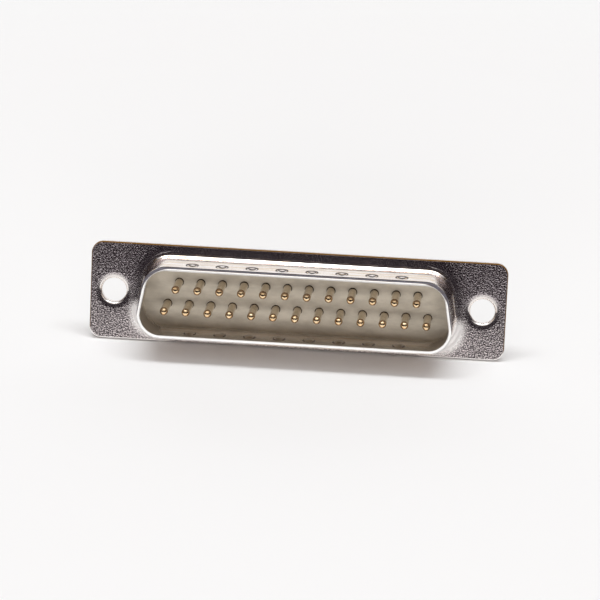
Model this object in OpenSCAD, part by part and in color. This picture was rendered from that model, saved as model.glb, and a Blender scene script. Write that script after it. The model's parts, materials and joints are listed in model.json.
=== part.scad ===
// D-shaped plug connector with two rows of solder-cup contacts.
// Two drawn sheet-metal shells are clinched together at their mounting holes. They clamp a front
// and a rear insulator between them, and the two insulators trap the contacts by their collars.
// +X runs along the contact rows, +Z points from the long row to the short row, and the shroud
// faces -Y. The origin is the middle of the front shell's flange, on its front face.

/* [Contact layout] */
// Contacts in the long row, which is the lower one; the upper row has one fewer
long_row = 13; // [3:1:16]
// Distance between neighbouring contacts of one row
pitch = 2.77; // [2.5:0.01:3.4]
// Distance between the two rows
row_gap = 2.84; // [2.5:0.01:3.6]

/* [Contacts] */
// Diameter of the mating pins
pin_d = 1.02; // [0.8:0.01:1.2]
// Distance from the shroud's rim back to the tips of the pins
pin_set_back = 1.4; // [0.6:0.05:2.5]
// Diameter of the thicker shank behind a pin, inside the front insulator
shank_d = 1.36; // [1.2:0.02:1.5]
// From the front insulator's face back to that shank
shank_set_back = 0.18; // [0.14:0.01:0.18]
// Diameter of the collar that holds a contact in the insulators
collar_d = 2; // [1.75:0.05:2.2]
// Length of that collar
collar_l = 1.2; // [0.6:0.1:1.6]
// Outer diameter of the solder barrel
barrel_d = 1.65; // [1.4:0.05:1.7]
// Length of the barrel behind the rear insulator
barrel_l = 4.6; // [3:0.1:7]
// Bore of the solder cup
cup_d = 1.15; // [0.8:0.05:1.25]
// Depth of the solder cup
cup_depth = 3.9; // [2:0.1:4.4]
// Length over which the cup is cut open on its outer side
cup_window = 2.9; // [1:0.1:3.4]

/* [Shroud] */
// From the middle of an end contact to the shroud's inner side, at the shroud's widest
shroud_end = 2.86; // [2.6:0.02:4]
// From the middle of a row to the shroud's inner wall
shroud_row = 2.76; // [2.6:0.02:3.6]
// Inner corner radius of the shroud
shroud_r = 2.6; // [2.3:0.1:2.9]
// Slant of the shroud's two ends
side_angle = 10; // [10:1:11]
// From the flange's front face to the shroud's rim
shroud_depth = 5.9; // [4.5:0.1:8]
// How far each wall leans out between the rim and the flange
shroud_flare = 0.1; // [0:0.02:0.2]
// Fillet between the flange's front face and the shroud
shroud_bend_r = 0.9; // [0.5:0.05:0.95]

/* [Grounding dimples] */
// Dimples on each long wall of the shroud
dimples = 8; // [2:1:8]
// Distance between neighbouring dimples
dimple_pitch = 3.78; // [3:0.02:4.2]
// How far a dimple is pressed into the wall
dimple_depth = 0.28; // [0.1:0.02:0.36]
// Radius of the dimple punch
dimple_r = 1.15; // [0.8:0.05:1.3]
// Straight length between the punch's two round ends
dimple_l = 0.3; // [0.1:0.05:0.8]
// From the shroud's rim to the middle of a dimple
dimple_set = 2.1; // [1.9:0.05:2.8]

/* [Shells] */
// Sheet thickness of both shells
sheet = 0.45; // [0.35:0.05:0.45]
// From the rear shell's housing to the long edges of the flange
flange_edge = 0.915; // [0.8:0.01:3]
// Corner radius of the flange
flange_r = 1.5; // [0.5:0.1:2.5]
// Rounding of the front shell's cut edge
edge_r = 0.14; // [0.05:0.01:0.2]
// From the shroud's inner outline to the outer wall of the rear shell's housing
housing_out = 1.18; // [1.1:0.01:1.5]
// Depth of the housing behind the flange
housing_depth = 4.1; // [3.5:0.1:8]
// Fillet between the flange's rear face and the housing
housing_bend_r = 0.4; // [0.2:0.05:0.6]
// Outer radius of the housing's turned-in rear edge
housing_rim_r = 0.6; // [0.55:0.05:0.8]
// Width of the turned-in rear edge, from the housing's outer wall
housing_lip = 1.4; // [1.1:0.05:1.7]

/* [Mounting holes] */
// From the shroud's inner side, at its widest, to the middle of a mounting hole
hole_out = 4.04; // [4:0.02:8]
// From the middle of a mounting hole to the end of the flange
hole_end = 3; // [2.8:0.05:5]
// Clear diameter of a mounting hole
hole_d = 3.1; // [2.6:0.05:3.2]
// Rounding where the flange runs into a mounting hole
hole_entry_r = 0.42; // [0.2:0.02:0.44]
// Wall of the eyelet that is drawn from the front shell through the rear shell
eyelet_t = 0.28; // [0.2:0.02:0.35]
// Width of the eyelet's flare behind the rear shell
flare_w = 0.45; // [0.2:0.05:0.7]
// Thickness of that flare
flare_t = 0.3; // [0.2:0.02:0.4]

/* [Insulators] */
// From the flange's front face back to the front insulator's face
face_set_back = 0.6; // [0.5:0.05:1]
// Width of the raised border that seats in the front shell
border_w = 0.45; // [0.3:0.05:0.6]
// From the flange's front face back to the joint between the insulators
split = 2.7; // [2.2:0.1:3.1]
// How far the rear insulator stands out behind the rear shell
rear_proud = 0.9; // [0.3:0.1:2]

/* [Clearances] */
// Between the insulators and the rear shell, all round
insulator_gap = 0.1; // [0.05:0.01:0.2]
// Between the insulators and the bends of the shells that they seat against
seat_gap = 0.05; // [0.02:0.01:0.15]
// Between a pin and the mouth of its hole in the front insulator, on the radius
mouth_gap = 0.07; // [0.04:0.01:0.1]
// Between a contact's shank and its hole in the front insulator, all round and in front
shank_gap = 0.05; // [0.03:0.01:0.08]
// Between a barrel or a collar and its place in the insulators
contact_gap = 0.05; // [0.02:0.01:0.1]
// Between the eyelet and its hole in the rear shell, on the radius
eyelet_gap = 0.05; // [0.02:0.01:0.1]

/* [Hidden] */
$fn = 72;
eps = 0.01;
contact_count = 2 * long_row - 1;

// The shroud's inner outline at its rim
shroud_w = (long_row - 1) * pitch + 2 * shroud_end;
shroud_h = row_gap + 2 * shroud_row;

// Directions of a straight side's outward normal, before and after each corner
d_turns = [-90, side_angle, 90, 180 - side_angle, 270];
box_turns = [-90, 0, 90, 180, 270];

// Middles of the corner arcs, anticlockwise from the lower right
low_x = shroud_w / 2 - shroud_r;
// Half the rise of a slanted side, moved by less than 0.0003 mm to where the side's run comes out
// on a 0.0001 mm grid, so that the straight side and the corner after it meet
side_rise = shroud_h / 2 - shroud_r;
rise_steps = [for (i = [0 : 30]) side_rise + i * 0.00001];
runs = [for (rise = rise_steps) 20000 * rise * tan(side_angle)];
run_off = [for (run = runs) run - round(run)];
fit_steps = [for (i = [0 : 30]) if (run_off[i] > -0.075 && run_off[i] < -0.02) rise_steps[i]];
corner_y = len(fit_steps) > 0 ? fit_steps[0] : side_rise;
high_x = low_x - 2 * corner_y * tan(side_angle);
d_corners = [[low_x, -corner_y], [high_x, corner_y], [-high_x, corner_y], [-low_x, -corner_y]];

// Flange
hole_x = shroud_w / 2 + hole_out;
flange_w = 2 * (hole_x + hole_end);
flange_h = shroud_h + 2 * (housing_out + flange_edge);
flange_cx = flange_w / 2 - flange_r;
flange_cy = flange_h / 2 - flange_r;
flange_corners = [[flange_cx, -flange_cy], [flange_cx, flange_cy],
                  [-flange_cx, flange_cy], [-flange_cx, -flange_cy]];

// Shroud section, drawn as offset from the inner outline against distance in front of the flange
rim_mid = [sheet / 2, shroud_depth - sheet / 2];
bend_mid = [sheet + shroud_flare + shroud_bend_r, shroud_bend_r];

// Flat strip by which the shroud's and the housing's sections run on into the flange
lap = 0.15;

// Levels behind the flange's front face
flange_back = 2 * sheet;
housing_back = flange_back + housing_depth;
insulator_back = housing_back + rear_proud;
barrel_back = insulator_back + barrel_l;

// Offsets of the insulators' outlines from the shroud's inner outline
body_out = housing_out - sheet - insulator_gap;
boss_out = housing_out - housing_lip - insulator_gap;

// Levels at which the insulators would touch the bends, less the gap left there
front_reach = sqrt(pow(shroud_bend_r + sheet, 2) - pow(bend_mid[0] - body_out, 2));
border_front = front_reach - shroud_bend_r + seat_gap;
rim_in_r = housing_rim_r - sheet;
rear_reach = sqrt(pow(rim_in_r, 2) - pow(max(0, rim_in_r - insulator_gap), 2));
body_back = housing_back - housing_rim_r + rear_reach - seat_gap;

// Contacts
tip_level = shroud_depth - pin_set_back;
shank_front = -face_set_back - shank_set_back;
pocket_r = collar_d / 2 + contact_gap;

eyelet_r = hole_d / 2 + eyelet_t;

function contact_name(i) = str("contact_", i < 10 ? "0" : "", i);

// Contact i counts from the lower right, seen from the front, and the upper row starts again there
function in_long_row(i) = i <= long_row;
function contact_x(i) = in_long_row(i) ? ((long_row + 1) / 2 - i) * pitch
                                       : (3 * long_row / 2 - i) * pitch;
function contact_y(i) = (in_long_row(i) ? -1 : 1) * row_gap / 2;
function heading(angle) = [cos(angle), sin(angle)];

// Turns a shape drawn as seen from the front, with its depth along +Z, into the object's frame
module facing_front() {
    rotate([90, 0, 0]) children();
}

// Outline with four equal corner arcs joined by tangent lines
module outline(corners, turns, r) {
    polygon([for (i = [0 : 3]) each [corners[i] + r * heading(turns[i]),
                                     corners[i] + r * heading(turns[i + 1])]]);
    for (corner = corners)
        translate(corner) circle(r);
}

// Carries a section, drawn as distance from the corner arcs' middles against level, round an outline
module run_round(corners, turns) {
    for (i = [0 : 3]) {
        next = corners[(i + 1) % 4];
        translate(corners[i]) rotate(turns[i])
            rotate_extrude(angle = turns[i + 1] - turns[i]) children();
        translate(next) rotate(turns[i + 1]) rotate([90, 0, 0])
            linear_extrude(norm(next - corners[i])) children();
    }
}

// A D-shaped slab, as an offset from the shroud's inner outline, between two levels
module d_slab(out, from, to) {
    translate([0, 0, from]) linear_extrude(to - from) outline(d_corners, d_turns, shroud_r + out);
}

// A section carried round the D, drawn as offset from the shroud's inner outline against level
module run_round_d() {
    run_round(d_corners, d_turns) translate([shroud_r, 0]) children();
}

module at_mounting_holes() {
    for (side = [-1, 1])
        translate([side * hole_x, 0, 0]) children();
}

// Quarter ring, or a part of one, between two headings less than 180 degrees apart
module bend(r, from, to) {
    far = 2 * (r + sheet);
    intersection() {
        difference() {
            circle(r + sheet);
            circle(r);
        }
        polygon([[0, 0], far * heading(from), far * heading((from + to) / 2), far * heading(to)]);
    }
}

// What a round edge of radius r leaves of a square corner at the origin, with the metal at +X, -Y
module edge_waste(r) {
    difference() {
        translate([-eps, -r]) square([r + eps, r + eps]);
        translate([r, -r]) circle(r);
    }
}

// ---- Front shell ----

// The flange's rounded rim, as a section outside the plate
module flange_edge_section() {
    translate([flange_r - edge_r, -sheet]) square([edge_r, sheet - edge_r]);
    intersection() {
        translate([flange_r - edge_r, -edge_r]) circle(edge_r);
        translate([flange_r - edge_r, -edge_r]) square(edge_r);
    }
}

module front_flange() {
    translate([0, 0, -sheet]) linear_extrude(sheet) difference() {
        outline(flange_corners, box_turns, flange_r - edge_r);
        outline(d_corners, d_turns, shroud_r + bend_mid[0] + lap / 2);
        at_mounting_holes() circle(hole_d / 2 + hole_entry_r);
    }
    run_round(flange_corners, box_turns) flange_edge_section();
}

// Shroud wall from its round rim to the fillet at the flange
module shroud_section() {
    translate(rim_mid) circle(sheet / 2);
    polygon([[0, rim_mid[1]], [shroud_flare, bend_mid[1]],
             [shroud_flare + sheet, bend_mid[1]], [sheet, rim_mid[1]]]);
    translate(bend_mid) bend(shroud_bend_r, 180, 270);
    translate([bend_mid[0], -sheet]) square([lap, sheet]);
}

// Rounded mouth, tube and flare of one eyelet, as a half section
module eyelet_section() {
    r = hole_d / 2;
    difference() {
        union() {
            translate([r, -sheet]) square([hole_entry_r, sheet]);
            translate([r, -flange_back - flare_t]) square([eyelet_t, flange_back + flare_t - eps]);
            translate([r, -flange_back - flare_t]) square([eyelet_t + flare_w, flare_t]);
        }
        translate([r, 0]) edge_waste(hole_entry_r);
        translate([r, -flange_back - flare_t]) mirror([0, 1]) edge_waste(flare_t);
    }
}

// Long round-ended punch that lies along the mating direction
module punch(r) {
    rotate_extrude() intersection() {
        union() {
            translate([0, dimple_l / 2]) circle(r);
            translate([0, -dimple_l / 2]) circle(r);
            square([2 * r, dimple_l], center = true);
        }
        translate([0, -2 * r]) square([r + eps, 4 * r]);
    }
}

// Places a punch of one size over every dimple, so that it reaches the given depth into the wall
module at_dimples(r, depth) {
    lean = shroud_flare / (rim_mid[1] - bend_mid[1]);
    wall_out = shroud_h / 2 + sheet + lean * (dimple_set - sheet / 2);
    for (side = [-1, 1], i = [0 : dimples - 1])
        translate([(i - (dimples - 1) / 2) * dimple_pitch,
                   side * (wall_out + r - depth), shroud_depth - dimple_set])
            punch(r);
}

module front_shell() color([0.78, 0.77, 0.76]) facing_front() difference() {
    union() {
        front_flange();
        run_round_d() shroud_section();
        at_mounting_holes() rotate_extrude() eyelet_section();
        intersection() {
            at_dimples(dimple_r + sheet, dimple_depth + sheet);
            d_slab(sheet / 2, shroud_bend_r, shroud_depth - sheet / 2);
        }
    }
    at_dimples(dimple_r, dimple_depth);
}

// ---- Rear shell ----

// Housing wall from the mouth that meets the flange to the turned-in rear edge
module housing_section() {
    wall_in_x = housing_out - sheet;
    wall_front = flange_back + housing_bend_r;
    wall_rear = housing_back - housing_rim_r;
    translate([housing_out + housing_bend_r, -flange_back]) square([lap, sheet]);
    translate([housing_out + housing_bend_r, -wall_front]) bend(housing_bend_r, 90, 180);
    translate([wall_in_x, -wall_rear]) square([sheet, wall_rear - wall_front]);
    translate([housing_out - housing_rim_r, -wall_rear]) bend(housing_rim_r - sheet, 270, 360);
    translate([housing_out - housing_lip, -housing_back])
        square([housing_lip - housing_rim_r, sheet]);
}

module rear_shell() color([0.72, 0.71, 0.7]) facing_front() {
    translate([0, 0, -flange_back]) linear_extrude(sheet) difference() {
        outline(flange_corners, box_turns, flange_r);
        outline(d_corners, d_turns, shroud_r + housing_out + housing_bend_r + lap / 2);
        at_mounting_holes() circle(eyelet_r + eyelet_gap);
    }
    run_round_d() housing_section();
}

// ---- Insulators ----

// A hole at every contact's place, between two levels
module contact_holes(r, from, to) {
    for (i = [1 : contact_count])
        translate([contact_x(i), contact_y(i), from]) cylinder(r = r, h = to - from);
}

module front_insulator() color([0.62, 0.58, 0.5]) facing_front() difference() {
    d_slab(body_out, -split, -border_front);
    d_slab(body_out - border_w, -face_set_back, eps);
    contact_holes(pin_d / 2 + mouth_gap, -split - eps, eps);
    contact_holes(shank_d / 2 + shank_gap, -split - eps, shank_front + shank_gap);
    contact_holes(pocket_r, -split - eps, -split + collar_l / 2 + contact_gap);
}

module rear_insulator() color([0.6, 0.56, 0.48]) facing_front() difference() {
    union() {
        d_slab(body_out, -body_back, -split);
        d_slab(boss_out, -insulator_back, -split);
    }
    contact_holes(barrel_d / 2 + contact_gap, -insulator_back - eps, -split + eps);
    contact_holes(pocket_r, -split - collar_l / 2 - contact_gap, -split + eps);
}

// ---- Contacts ----

// One contact along the mating direction, with its cup open towards +Y
module contact_body() {
    pin_r = pin_d / 2;
    difference() {
        union() {
            translate([0, 0, -split]) cylinder(r = pin_r, h = split + tip_level - pin_r);
            translate([0, 0, tip_level - pin_r]) sphere(pin_r);
            translate([0, 0, -split]) cylinder(r = shank_d / 2, h = split + shank_front);
            translate([0, 0, -split - collar_l / 2]) cylinder(r = collar_d / 2, h = collar_l);
            translate([0, 0, -barrel_back]) cylinder(r = barrel_d / 2, h = barrel_back - split);
        }
        translate([0, 0, -barrel_back - eps]) cylinder(r = cup_d / 2, h = cup_depth + eps);
        translate([-barrel_d, 0, -barrel_back - eps]) cube([2 * barrel_d, barrel_d, cup_window + eps]);
    }
}

module contact(i) color([0.85, 0.65, 0.3]) facing_front()
    translate([contact_x(i), contact_y(i), 0])
        rotate(in_long_row(i) ? 180 : 0) contact_body();

front_shell();
rear_shell();
front_insulator();
rear_insulator();
for (i = [1 : contact_count])
    contact(i);
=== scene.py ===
"""Looks of a 25-way D-shaped plug connector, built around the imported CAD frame.

The connector leans back on the floor, which touches the lower rear edges of its flange and of its
housing. The part stays as modelled, so it is the floor that is tilted in the part's own frame.
"""

import json
import math

import bpy
from mathutils import Matrix, Vector


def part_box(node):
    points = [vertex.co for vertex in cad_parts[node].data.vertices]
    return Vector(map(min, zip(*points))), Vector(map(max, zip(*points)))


MM = 0.001

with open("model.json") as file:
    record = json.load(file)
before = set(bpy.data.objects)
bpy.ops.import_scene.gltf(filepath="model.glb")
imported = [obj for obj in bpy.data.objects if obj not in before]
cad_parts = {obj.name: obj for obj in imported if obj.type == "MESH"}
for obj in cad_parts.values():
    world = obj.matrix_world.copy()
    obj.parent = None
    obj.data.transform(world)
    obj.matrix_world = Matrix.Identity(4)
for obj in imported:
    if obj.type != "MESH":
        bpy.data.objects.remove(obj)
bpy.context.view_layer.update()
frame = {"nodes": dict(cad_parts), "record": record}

# ---- Sizes in millimetres ----

# From the frame
panel_holes = next(m for m in frame["record"]["mounts"] if m["name"] == "panel_holes")["dims"]
HOLE_X = panel_holes["spacing_x_mm"] / 2
HOLE_R = panel_holes["hole_r_mm"]
front_low, front_high = (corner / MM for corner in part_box("front_shell"))
rear_low, rear_high = (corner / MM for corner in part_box("rear_shell"))
FLANGE_HALF_W = front_high.x
FLANGE_HALF_H = front_high.z
RIM_DEPTH = -front_low.y
HOUSING_BACK = rear_high.y
BOSS_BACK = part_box("rear_insulator")[1].y / MM
TIP_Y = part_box("contact_01")[0].y / MM

# The pieces' form, as the CAD model has it
SHEET = 0.45
FLANGE_R = 1.5
HOLE_ENTRY_R = 0.42
BEND_R = 0.9
SHROUD_HALF_W = 19.48
SHROUD_HALF_H = 4.18
SHROUD_R = 2.6
SIDE_ANGLE = math.radians(10)
HOUSING_OUT = 1.18
HOUSING_RIM_R = 0.6
INSULATOR_FACE = 0.6
DIMPLES = 8
DIMPLE_PITCH = 3.78
DIMPLE_FROM_RIM = 2.1
DIMPLE_L = 0.3
DIMPLE_HALF_W = 0.75

# ---- Node helpers ----


class Value:
    """A number in a node tree. Ordinary arithmetic on it adds the math nodes."""

    def __init__(self, tree, socket):
        self.tree = tree
        self.socket = socket

    def __add__(self, other):
        return self.tree.math("ADD", self, other)

    def __sub__(self, other):
        return self.tree.math("SUBTRACT", self, other)

    def __rsub__(self, other):
        return self.tree.math("SUBTRACT", other, self)

    def __mul__(self, other):
        return self.tree.math("MULTIPLY", self, other)

    def __truediv__(self, other):
        return self.tree.math("DIVIDE", self, other)

    def __neg__(self):
        return self.tree.math("MULTIPLY", self, -1)

    def __abs__(self):
        return self.tree.math("ABSOLUTE", self)

    def __or__(self, other):
        """Two masks joined: 1 where either is."""
        return self.at_least(other)

    def at_least(self, other):
        return self.tree.math("MAXIMUM", self, other)

    def at_most(self, other):
        return self.tree.math("MINIMUM", self, other)


class Tree:
    """A node tree, with short calls for the nodes that the looks need."""

    def __init__(self, node_tree):
        self.nodes = node_tree.nodes
        self.links = node_tree.links

    def node(self, kind, **settings):
        made = self.nodes.new(kind)
        for key, value in settings.items():
            setattr(made, key, value)
        return made

    def plug(self, socket, value):
        """Links a socket to what was made here, or sets a constant on it."""
        if isinstance(value, Value):
            value = value.socket
        if isinstance(value, bpy.types.NodeSocket):
            self.links.new(value, socket)
        else:
            socket.default_value = value

    def split(self, vector):
        parts = self.node("ShaderNodeSeparateXYZ")
        self.plug(parts.inputs[0], vector)
        return [Value(self, part) for part in parts.outputs]

    def join(self, x, y, z):
        made = self.node("ShaderNodeCombineXYZ")
        for socket, value in zip(made.inputs, (x, y, z)):
            self.plug(socket, value)
        return made.outputs[0]

    def math(self, operation, *values):
        made = self.node("ShaderNodeMath", operation=operation)
        for socket, value in zip(made.inputs, values):
            self.plug(socket, value)
        return Value(self, made.outputs[0])

    def length(self, across, along):
        made = self.node("ShaderNodeVectorMath", operation="LENGTH")
        self.plug(made.inputs[0], self.join(across, along, 0.0))
        return Value(self, made.outputs["Value"])

    def ramp(self, value, low, high, out_low=0.0, out_high=1.0):
        """value mapped smoothly from low..high to out_low..out_high."""
        made = self.node("ShaderNodeMapRange", interpolation_type="SMOOTHSTEP")
        for socket, entry in zip(made.inputs, (value, low, high, out_low, out_high)):
            self.plug(socket, entry)
        return Value(self, made.outputs[0])

    def band(self, value, low, full, last, gone):
        """1 where value lies in full..last, dying away towards low and gone."""
        return self.ramp(value, low, full) * self.ramp(value, last, gone, 1.0, 0.0)

    def mix(self, factor, a, b, blend="MIX"):
        made = self.node("ShaderNodeMix", data_type="RGBA", blend_type=blend)
        self.plug(made.inputs[0], factor)
        self.plug(made.inputs[6], a)
        self.plug(made.inputs[7], b)
        return made.outputs[2]


class Shader(Tree):
    """One material. x, y, z and the vector mm are the object's own coordinates in millimetres."""

    def __init__(self, name):
        self.mat = bpy.data.materials.new(name)
        self.mat.use_nodes = True
        super().__init__(self.mat.node_tree)
        self.inputs = self.nodes["Principled BSDF"].inputs
        scaled = self.node("ShaderNodeVectorMath", operation="SCALE")
        self.plug(scaled.inputs[0], self.node("ShaderNodeTexCoord").outputs["Object"])
        self.plug(scaled.inputs["Scale"], 1 / MM)
        self.mm = scaled.outputs["Vector"]
        self.x, self.y, self.z = self.split(self.mm)

    def set(self, name, value):
        self.plug(self.inputs[name], value)

    def drawn_out(self, share):
        """Coordinates in which a pattern is drawn out along the part's length."""
        return self.join(self.x * share, self.y, self.z)

    def noise(self, coords, scale, detail=2.0, roughness=0.5, distortion=0.0):
        made = self.node("ShaderNodeTexNoise")
        settings = (("Vector", coords), ("Scale", scale), ("Detail", detail),
                    ("Roughness", roughness), ("Distortion", distortion))
        for name, value in settings:
            self.plug(made.inputs[name], value)
        return Value(self, made.outputs["Fac"])

    def mottled(self, dark, pale, scale):
        """A colour that drifts softly between two tones."""
        return self.mix(self.ramp(self.noise(self.mm, scale), 0.35, 0.65), dark, pale)

    def bump(self, height):
        """The shading normal, bent by a height in millimetres."""
        made = self.node("ShaderNodeBump")
        made.inputs["Strength"].default_value = 1.0
        made.inputs["Distance"].default_value = MM
        self.plug(made.inputs["Height"], height)
        return made.outputs["Normal"]

    def raised(self, normal, amount):
        """A normal turned upwards, by an amount added to its z."""
        added = self.node("ShaderNodeVectorMath", operation="ADD")
        self.plug(added.inputs[0], normal)
        self.plug(added.inputs[1], self.join(0.0, 0.0, amount))
        unit = self.node("ShaderNodeVectorMath", operation="NORMALIZE")
        self.plug(unit.inputs[0], added.outputs["Vector"])
        return unit.outputs["Vector"]


# ---- Colours ----


def rgb(red, green, blue):
    return (red, green, blue, 1.0)


TIN_DULL = rgb(0.86, 0.80, 0.77)
TIN_BRIGHT = rgb(0.94, 0.89, 0.86)
TIN_PAINTED_HIGHLIGHT = rgb(0.96, 0.93, 0.91)
TIN_RIM_HIGHLIGHT = rgb(0.97, 0.96, 0.94)
TIN_INSIDE_SHADE = rgb(0.40, 0.35, 0.31)
FLANGE_PAINTED_LIGHT_LOW = rgb(1.0, 0.91, 0.90)
FLANGE_PAINTED_SHADE_HIGH = rgb(0.86, 0.77, 0.79)
GRAIN_PIT = rgb(0.12, 0.10, 0.11)
DRAWN_LINE_REFLECTION = rgb(0.78, 0.62, 0.45)
BROWN_EDGE_FRONT = rgb(0.09, 0.045, 0.012)
BROWN_EDGE_SIDE = rgb(0.25, 0.13, 0.035)
DIMPLE_DARK_REFLECTION = rgb(0.06, 0.045, 0.04)
DARK_REFLECTION_BEHIND_RIM = rgb(0.06, 0.06, 0.09)
REAR_DULL = rgb(0.70, 0.68, 0.67)
REAR_BRIGHT = rgb(0.80, 0.78, 0.76)
PLASTIC_DARK = rgb(0.57, 0.52, 0.43)
PLASTIC_PALE = rgb(0.74, 0.68, 0.57)
PLASTIC_FLECK = rgb(0.52, 0.47, 0.39)
LOWER_BORE_SHADE = rgb(0.14, 0.12, 0.09)
UPPER_BORE_SHADE = rgb(0.03, 0.025, 0.02)
TIP_RED = rgb(0.94, 0.65, 0.36)
TIP_PALE = rgb(1.0, 0.80, 0.52)
SHAFT_DARK = rgb(0.58, 0.46, 0.30)
SHAFT_PALE = rgb(0.72, 0.60, 0.42)
CUP_DEEP = rgb(0.94, 0.70, 0.34)
CUP_PALE = rgb(1.0, 0.80, 0.44)
PIN_ROOT_SHADE = rgb(0.06, 0.05, 0.035)
PIN_SKIRT_REFLECTION = rgb(0.20, 0.10, 0.04)
PAPER = rgb(0.9, 0.9, 0.9)

# ---- Places on the front shell ----


def from_shroud(s):
    """Distance in millimetres from the shroud's inner outline, positive outside it."""
    corner_x = SHROUD_HALF_W - SHROUD_R
    corner_z = SHROUD_HALF_H - SHROUD_R
    reach = corner_x * math.cos(SIDE_ANGLE) - corner_z * math.sin(SIDE_ANGLE)
    side = abs(s.x) * math.cos(SIDE_ANGLE) + s.z * math.sin(SIDE_ANGLE) - reach
    flat = abs(s.z) - corner_z
    corner = s.length(side.at_least(0), flat.at_least(0))
    return corner + (side | flat).at_most(0) - SHROUD_R


def from_hole(s):
    """Distance in millimetres from the middle of the nearer mounting hole."""
    return s.length(abs(s.x) - HOLE_X, s.z)


def from_edge(s):
    """Distance in millimetres from the flange's outline, negative inside it."""
    across = abs(s.x) - (FLANGE_HALF_W - FLANGE_R)
    along = abs(s.z) - (FLANGE_HALF_H - FLANGE_R)
    return s.length(across.at_least(0), along.at_least(0)) - FLANGE_R


def dimple_dark_reflections(s, inside):
    """Thin rings of painted dark reflection round the dimples of both long walls, of which the inside
    keeps only the ends.
    """
    number = s.math("ROUND", s.x / DIMPLE_PITCH + 0.5)
    number = number.at_least(1 - DIMPLES / 2).at_most(DIMPLES / 2)
    across = s.x - (number - 0.5) * DIMPLE_PITCH
    along = abs(s.y + RIM_DEPTH - DIMPLE_FROM_RIM) - DIMPLE_L / 2
    away = s.length(across, along.at_least(0)) - DIMPLE_HALF_W
    ring = s.band(away, -0.16, -0.06, 0.02, 0.12)
    on_wall = s.ramp(abs(s.z), SHROUD_HALF_H - 0.4, SHROUD_HALF_H - 0.3)
    ends = s.ramp(abs(across), 0.4, 0.55)
    return ring * on_wall * ((1 - inside) | ends)


# ---- Materials ----


def fade(s, distance, reach, height):
    """A height that dies away over reach millimetres."""
    return s.math("EXPONENT", distance / -reach) * height


def wall_lean(s):
    """Height that sweeps the drawn wall out of its bend and rounds it off towards the rim."""
    rounded_l = 0.75
    depth = -s.y
    past_bend = (depth - BEND_R).at_least(0)
    near_rim = (depth - (RIM_DEPTH - rounded_l)).at_least(0)
    return fade(s, past_bend, reach=2.0, height=0.62) - past_bend * 0.06 - near_rim * 0.3


def front_relief(s, d, on_flange, grained, streaks):
    """Height in millimetres of the front shell's grain, streaks and soft forms."""
    grain = s.noise(s.mm, scale=5.0, roughness=0.6) * 0.045 * grained
    streaks = streaks * 0.006 * (1 - on_flange)
    past_bend = (d - (SHEET + BEND_R)).at_least(0)
    past_entry = (from_hole(s) - (HOLE_R + HOLE_ENTRY_R)).at_least(0)
    draw_rise = fade(s, past_bend, reach=1.1, height=0.18) * on_flange
    hole_dip = fade(s, past_entry, reach=0.3, height=-0.018) * on_flange
    outside = s.math("GREATER_THAN", d, SHEET / 2)
    return grain + streaks + draw_rise + hole_dip + wall_lean(s) * outside


def front_tin(s, on_flange, grained):
    """The tin's colour: dark pits in the flange's grain, painted light that makes the flange paler low
    down and darker high up, and beige lines on the drawn walls whose tint is a painted reflection.
    """
    tin = s.mottled(TIN_DULL, TIN_BRIGHT, scale=0.45)
    # Painted light and shade: the flange is paler low down and darker high up.
    tin = s.mix(grained, tin, s.mix(s.ramp(s.z, -3.0, 1.0), FLANGE_PAINTED_LIGHT_LOW, FLANGE_PAINTED_SHADE_HIGH))
    pits = s.ramp(s.noise(s.mm, scale=5.5, detail=1.0), 0.44, 0.56) * grained
    tin = s.mix(pits * 0.9, tin, GRAIN_PIT)
    # Lines along the drawn walls; their beige tint is a painted reflection.
    lines = s.ramp(s.noise(s.drawn_out(0.025), scale=4.0), 0.5, 0.6, 0.0, 0.9)
    return s.mix(lines * (1 - on_flange), tin, DRAWN_LINE_REFLECTION)


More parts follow.
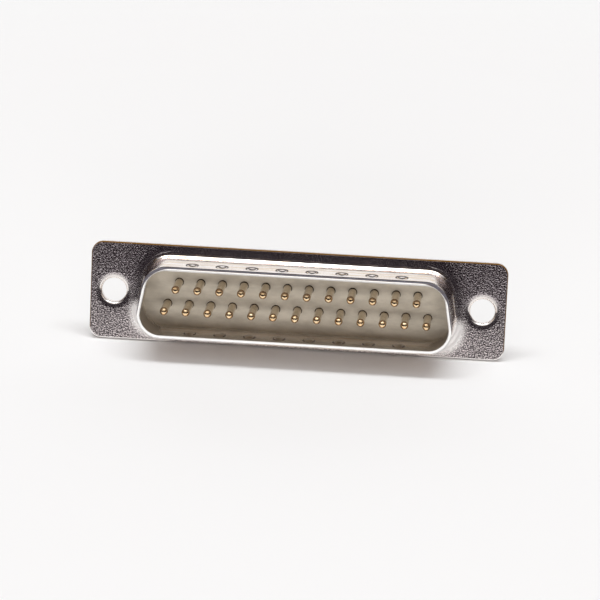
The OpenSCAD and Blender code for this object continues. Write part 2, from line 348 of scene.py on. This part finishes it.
def plated_front():
    """Tin-plated front shell: coarse grain on the flat flange, bright drawn walls with streaks."""
    s = Shader("plated_front")
    d = from_shroud(s)
    edge = from_edge(s)
    inside = s.ramp(d, 0.02, 0.08, 1.0, 0.0)

    on_flange = s.ramp(s.y, -0.25, -0.02)
    clear_of_draw = s.ramp(d, SHEET + 0.7, SHEET + 2.2, 0.35, 1.0)
    clear_of_hole = s.ramp(from_hole(s), HOLE_R + 0.35, HOLE_R + 0.9)
    grained = on_flange * clear_of_draw * clear_of_hole

    # On the wings, the flange's lower edge has a painted highlight, a thin bright line, and the rest of
    # its outline is brown. A soft painted highlight lies on the wings round the shroud's lower corners.
    above_foot = s.ramp(s.z, 0.8 - FLANGE_HALF_H, 1.4 - FLANGE_HALF_H)
    on_wing = s.ramp(abs(s.x), 14.8, 17.2)
    brown_edge = s.ramp(edge, -0.15, -0.08) * above_foot
    foot_highlight = s.ramp(edge, -0.17, -0.09) * (1 - above_foot) * on_wing
    low_on_wing = s.ramp(s.z, -2.2, -0.6, 1.0, 0.0) * on_wing
    painted_halo = s.ramp(d, 1.3, 2.3, 1.0, 0.0) * low_on_wing * s.ramp(s.y, -1.0, -0.8)

    # The rim has a pale painted highlight, a painted dark reflection lies as a line behind it, and
    # painted dark reflections ring the dimples
    from_rim = s.y + RIM_DEPTH
    rim = s.ramp(from_rim, 0.2, 0.16) * s.ramp(d, 0.28, 0.34, 1.0, 0.0)
    reflection_behind_rim = s.ramp(from_rim, 0.38, 0.28) * s.ramp(d, 0.30, 0.36) * s.ramp(s.z, -3.0, 0.0, 0.3, 0.9)
    dimple_reflections = dimple_dark_reflections(s, inside) * 0.9

    colour = front_tin(s, on_flange, grained)
    # The flange's outline is coloured brown, darker at the front face than on the side.
    colour = s.mix(brown_edge, colour, s.mix(s.ramp(s.y, 0.02, 0.1), BROWN_EDGE_FRONT, BROWN_EDGE_SIDE))
    colour = s.mix(foot_highlight | painted_halo, colour, TIN_PAINTED_HIGHLIGHT)
    # Painted shade darkens the tin inside the shroud.
    colour = s.mix(inside, colour, TIN_INSIDE_SHADE)
    # Painted dark reflections ring the dimples.
    colour = s.mix(dimple_reflections, colour, DIMPLE_DARK_REFLECTION)
    # Painted dark reflection: a line behind the rim, darker higher up.
    colour = s.mix(reflection_behind_rim, colour, DARK_REFLECTION_BEHIND_RIM)
    s.set("Base Color", s.mix(rim, colour, TIN_RIM_HIGHLIGHT))

    # Dull places are neither metallic nor glossy, and the pale ones are partly metallic
    dull = brown_edge | dimple_reflections | reflection_behind_rim
    painted_halo = painted_halo * (1 - inside)
    s.set("Metallic", 1 - (dull | (rim | foot_highlight) * 0.8 | painted_halo * 0.4))
    s.set("Specular IOR Level", (1 - dull) * 0.5)
    streaks = s.noise(s.drawn_out(0.06), scale=7.0, detail=3.0, roughness=0.6)
    s.set("Roughness", rim * 0.35 + streaks * 0.1 + (inside | painted_halo) * 0.14 + 0.11)
    relief = front_relief(s, d, on_flange, grained, streaks)
    s.set("Normal", s.raised(s.bump(relief), rim * 0.8))
    return s.mat


def plated_rear():
    """Tin-plated rear shell: fine grain all over, drawn housing with faint streaks."""
    s = Shader("plated_rear")
    grain = s.noise(s.mm, scale=3.6, detail=2.5, roughness=0.6, distortion=0.3)
    streaks = s.noise(s.drawn_out(0.08), scale=6.0, detail=3.0)
    on_plate = s.ramp(s.y, rear_low.y + 0.5, rear_low.y + 0.7, 1.0, 0.15)
    s.set("Base Color", s.mottled(REAR_DULL, REAR_BRIGHT, scale=0.5))
    s.set("Metallic", 1.0)
    s.set("Roughness", s.ramp(grain, 0.3, 0.7, 0.22, 0.36))
    s.set("Normal", s.bump(grain * 0.05 * on_plate + streaks * 0.006))
    return s.mat


def moulded_insulator():
    """Satin, glass-filled plastic with a faint flow pattern and fine grain, with painted shade in the
    bores.
    """
    s = Shader("moulded_insulator")
    flow = s.noise(s.drawn_out(0.35), scale=0.9, detail=4.0, roughness=0.55)
    fleck = s.noise(s.mm, scale=14.0)
    grain = s.noise(s.mm, scale=9.0, detail=3.0)
    colour = s.mix(s.ramp(flow, 0.3, 0.7), PLASTIC_DARK, PLASTIC_PALE)
    colour = s.mix(s.ramp(fleck, 0.45, 0.75, 0.0, 0.25), colour, PLASTIC_FLECK)
    behind_face = s.y - INSULATOR_FACE
    boss = BOSS_BACK - INSULATOR_FACE
    in_bore = s.band(behind_face, 0.005, 0.06, boss - 0.5, boss - 0.3)
    # Painted shade in the bores, darker in the upper row than in the lower.
    bore_shade = s.mix(s.ramp(s.z, -1.0, 1.0), LOWER_BORE_SHADE, UPPER_BORE_SHADE)
    s.set("Base Color", s.mix(in_bore, colour, bore_shade))
    s.set("Roughness", s.ramp(fleck, 0.3, 0.7, 0.38, 0.5))
    s.set("Normal", s.bump(grain * 0.004 + flow * 0.01))
    return s.mat


def gold_contact():
    """Thin gold over nickel: reddish at the tip, paler and greyer where the plating is thinner."""
    s = Shader("gold_contact")
    thinner = s.noise(s.mm, scale=1.6, detail=3.0)
    blotches = s.ramp(thinner, 0.35, 0.7)
    from_tip = s.y - TIP_Y
    at_tip = s.ramp(from_tip, 0.35, 0.65, 1.0, 0.0)
    # A painted dark reflection rings the base of each tip's dome.
    skirt_reflection = s.band(from_tip, 0.18, 0.3, 0.58, 0.7) * 0.8
    at_cup = s.ramp(s.y, BOSS_BACK, BOSS_BACK + 0.2)
    # Painted shade where each pin enters the insulator, stronger in the upper row.
    root_shade = s.band(s.y, INSULATOR_FACE - 0.55, INSULATOR_FACE - 0.2, BOSS_BACK - 1.4, BOSS_BACK - 0.4)
    root_shade = root_shade * 0.9 * s.ramp(s.z, -0.5, 0.5, 0.25, 1.0)

    colour = s.mix(root_shade, s.mix(blotches, SHAFT_DARK, SHAFT_PALE), PIN_ROOT_SHADE)
    colour = s.mix(at_tip, colour, s.mix(blotches, TIP_RED, TIP_PALE))
    colour = s.mix(at_cup, colour, s.mix(thinner, CUP_DEEP, CUP_PALE))
    s.set("Base Color", s.mix(skirt_reflection, colour, PIN_SKIRT_REFLECTION))
    s.set("Metallic", 1 - (skirt_reflection | root_shade))
    s.set("Specular IOR Level", 0.2)
    turned = s.noise(s.join(s.x * 0.1, s.y, s.z * 0.1), scale=22.0)
    s.set("Roughness", s.ramp(turned, 0.3, 0.7, 0.06, 0.14))
    s.set("Normal", s.bump(turned * 0.0012))
    return s.mat


def dress(names, material):
    for name in names:
        slots = frame["nodes"][name].data.materials
        slots.clear()
        slots.append(material)


dress([name for name in frame["nodes"] if name.startswith("contact_")], gold_contact())
dress(["front_insulator", "rear_insulator"], moulded_insulator())
dress(["front_shell"], plated_front())
dress(["rear_shell"], plated_rear())

# ---- Floor ----


def resting_tilt(edge, centre, radius):
    """Angle of the line through edge that lies under a circle of that radius, in the YZ plane."""
    reach = centre - edge
    return math.acos(radius / reach.length) - math.atan2(reach.x, reach.y)


flange_foot = Vector((rear_low.y + SHEET, rear_low.z))
housing_rim = Vector((HOUSING_BACK - HOUSING_RIM_R, HOUSING_RIM_R - SHROUD_HALF_H - HOUSING_OUT))
TILT = resting_tilt(flange_foot, housing_rim, HOUSING_RIM_R)


def paper_floor():
    """A white sheet under the part. It keeps the part's shadow and fades into the background."""
    reach = 160
    bpy.ops.mesh.primitive_circle_add(vertices=96, radius=reach * MM, fill_type="NGON")
    floor = bpy.context.object
    floor.name = "floor"
    floor.rotation_euler = (TILT, 0, 0)
    floor.location = Vector((0, flange_foot.x, flange_foot.y)) * MM
    s = Shader("paper")
    s.set("Base Color", PAPER)
    s.set("Roughness", 0.9)
    s.set("Specular IOR Level", 0.1)
    solid = s.ramp(s.length(s.x, s.y), 0.55 * reach, 0.98 * reach, 1.0, 0.0)
    solid = solid * s.ramp(s.y, -0.6 * reach, -0.475 * reach)
    underside = Value(s, s.node("ShaderNodeNewGeometry").outputs["Backfacing"])
    s.set("Alpha", solid * (1 - underside))
    floor.data.materials.append(s.mat)


paper_floor()

# ---- Light ----

# Metres and watts
LAMP_DISTANCE = 1.0

# Directions on the floor, in the part's frame
up = Vector((0, -math.sin(TILT), math.cos(TILT)))
ahead = Vector((0, -math.cos(TILT), -math.sin(TILT)))


def softbox(name, angle, size, power, colour=(1, 1, 1)):
    """A rectangular lamp that faces the part, at an angle in degrees above the floor in front."""
    angle = math.radians(angle)
    place = (ahead * math.cos(angle) + up * math.sin(angle)) * LAMP_DISTANCE
    data = bpy.data.lights.new(name, "AREA")
    data.shape = "RECTANGLE"
    data.size, data.size_y = size
    data.energy = power
    data.color = colour
    lamp = bpy.data.objects.new(name, data)
    lamp.location = place
    lamp.rotation_euler = (-place).to_track_quat("-Z", "Y").to_euler()
    lamp.visible_camera = False
    bpy.context.scene.collection.objects.link(lamp)
    return lamp


softbox("top_light", angle=91, size=(1.2, 0.24), power=6.5, colour=(0.95, 0.985, 1.005))
front_fill = softbox("front_fill", angle=6, size=(0.8, 0.3), power=4.8)
front_fill.visible_glossy = False

# What surrounds the part, by the angle in degrees from the floor in front, over the top, to the
# floor behind: a dark side where the camera stands, a pale ceiling, a dark gap, a white wall
WHITE = rgb(1.0, 1.0, 1.0)
CEILING = rgb(0.80, 0.78, 0.77)
DARK = rgb(0.034, 0.028, 0.033)
SURROUNDINGS = ((-180, WHITE), (-95, WHITE), (-80, DARK), (36, DARK), (50, CEILING), (116, CEILING),
                (122, DARK), (141, DARK), (148, WHITE), (180, WHITE))
SOFT_FILL = rgb(0.20, 0.14, 0.115)
BACKDROP = rgb(0.95, 0.95, 0.95)


class World(Tree):
    """The world's node tree."""

    def __init__(self, name):
        world = bpy.data.worlds.new(name)
        world.use_nodes = True
        world.node_tree.nodes.clear()
        bpy.context.scene.world = world
        super().__init__(world.node_tree)

    def background(self, colour):
        made = self.node("ShaderNodeBackground")
        self.plug(made.inputs["Color"], colour)
        return made.outputs[0]

    def choose(self, factor, a, b):
        made = self.node("ShaderNodeMixShader")
        for socket, link in zip(made.inputs, (factor, a, b)):
            self.plug(socket, link)
        return made.outputs[0]

    def colour_bands(self, place, stops):
        """Colours by place, from stops at 0 to 1."""
        made = self.node("ShaderNodeValToRGB")
        elements = made.color_ramp.elements
        while len(elements) < len(stops):
            elements.new(0.5)
        for element, (position, colour) in zip(elements, stops):
            element.position = position
            element.color = colour
        self.plug(made.inputs["Fac"], place)
        return made.outputs["Color"]


def studio_world():
    """The surroundings, with a soft fill for matt surfaces and a plain backdrop for the camera."""
    w = World("studio")
    turn = w.node("ShaderNodeMapping", vector_type="POINT")
    w.plug(turn.inputs["Rotation"], (-TILT, 0, 0))
    w.plug(turn.inputs["Vector"], w.node("ShaderNodeTexCoord").outputs["Generated"])
    x, y, z = w.split(turn.outputs[0])

    angle = w.math("ARCTAN2", z, -y)
    stops = [((degrees + 180) / 360, colour) for degrees, colour in SURROUNDINGS]
    bands = w.colour_bands(angle / (2 * math.pi) + 0.5, stops)
    flank = w.mix(w.ramp(z, 0.0, -0.15), DARK, WHITE)
    around = w.mix(w.ramp(abs(x), 0.5, 0.8), bands, flank)
    filled = w.mix(1.0, around, SOFT_FILL, blend="LIGHTEN")

    ray = w.node("ShaderNodeLightPath").outputs
    lit = w.choose(ray["Is Diffuse Ray"], w.background(around), w.background(filled))
    seen = w.choose(ray["Is Camera Ray"], lit, w.background(BACKDROP))
    w.plug(w.node("ShaderNodeOutputWorld").inputs[0], seen)


studio_world()

# ---- Camera ----


def camera(azimuth, elevation, roll, distance, target, lens):
    """A camera that looks at target, from azimuth right of the front and elevation above it."""
    back = Vector((math.sin(azimuth) * math.cos(elevation),
                   -math.cos(azimuth) * math.cos(elevation), math.sin(elevation)))
    right = Vector((0, 0, 1)).cross(back).normalized()
    upward = back.cross(right)
    rolled_right = right * math.cos(roll) + upward * math.sin(roll)
    rolled_up = upward * math.cos(roll) - right * math.sin(roll)
    data = bpy.data.cameras.new("camera")
    data.sensor_width = 36
    data.lens = lens
    data.clip_start = 0.01
    made = bpy.data.objects.new("camera", data)
    turn = Matrix((rolled_right, rolled_up, back)).transposed().to_4x4()
    made.matrix_world = Matrix.Translation(target + back * distance) @ turn
    bpy.context.scene.collection.objects.link(made)
    bpy.context.scene.camera = made


camera(azimuth=math.radians(3.75), elevation=math.radians(13.1), roll=math.radians(2.52),
       distance=434 * MM, target=Vector((0.30, 0, 0.14)) * MM, lens=204.8)

bpy.context.scene.view_settings.view_transform = "Standard"
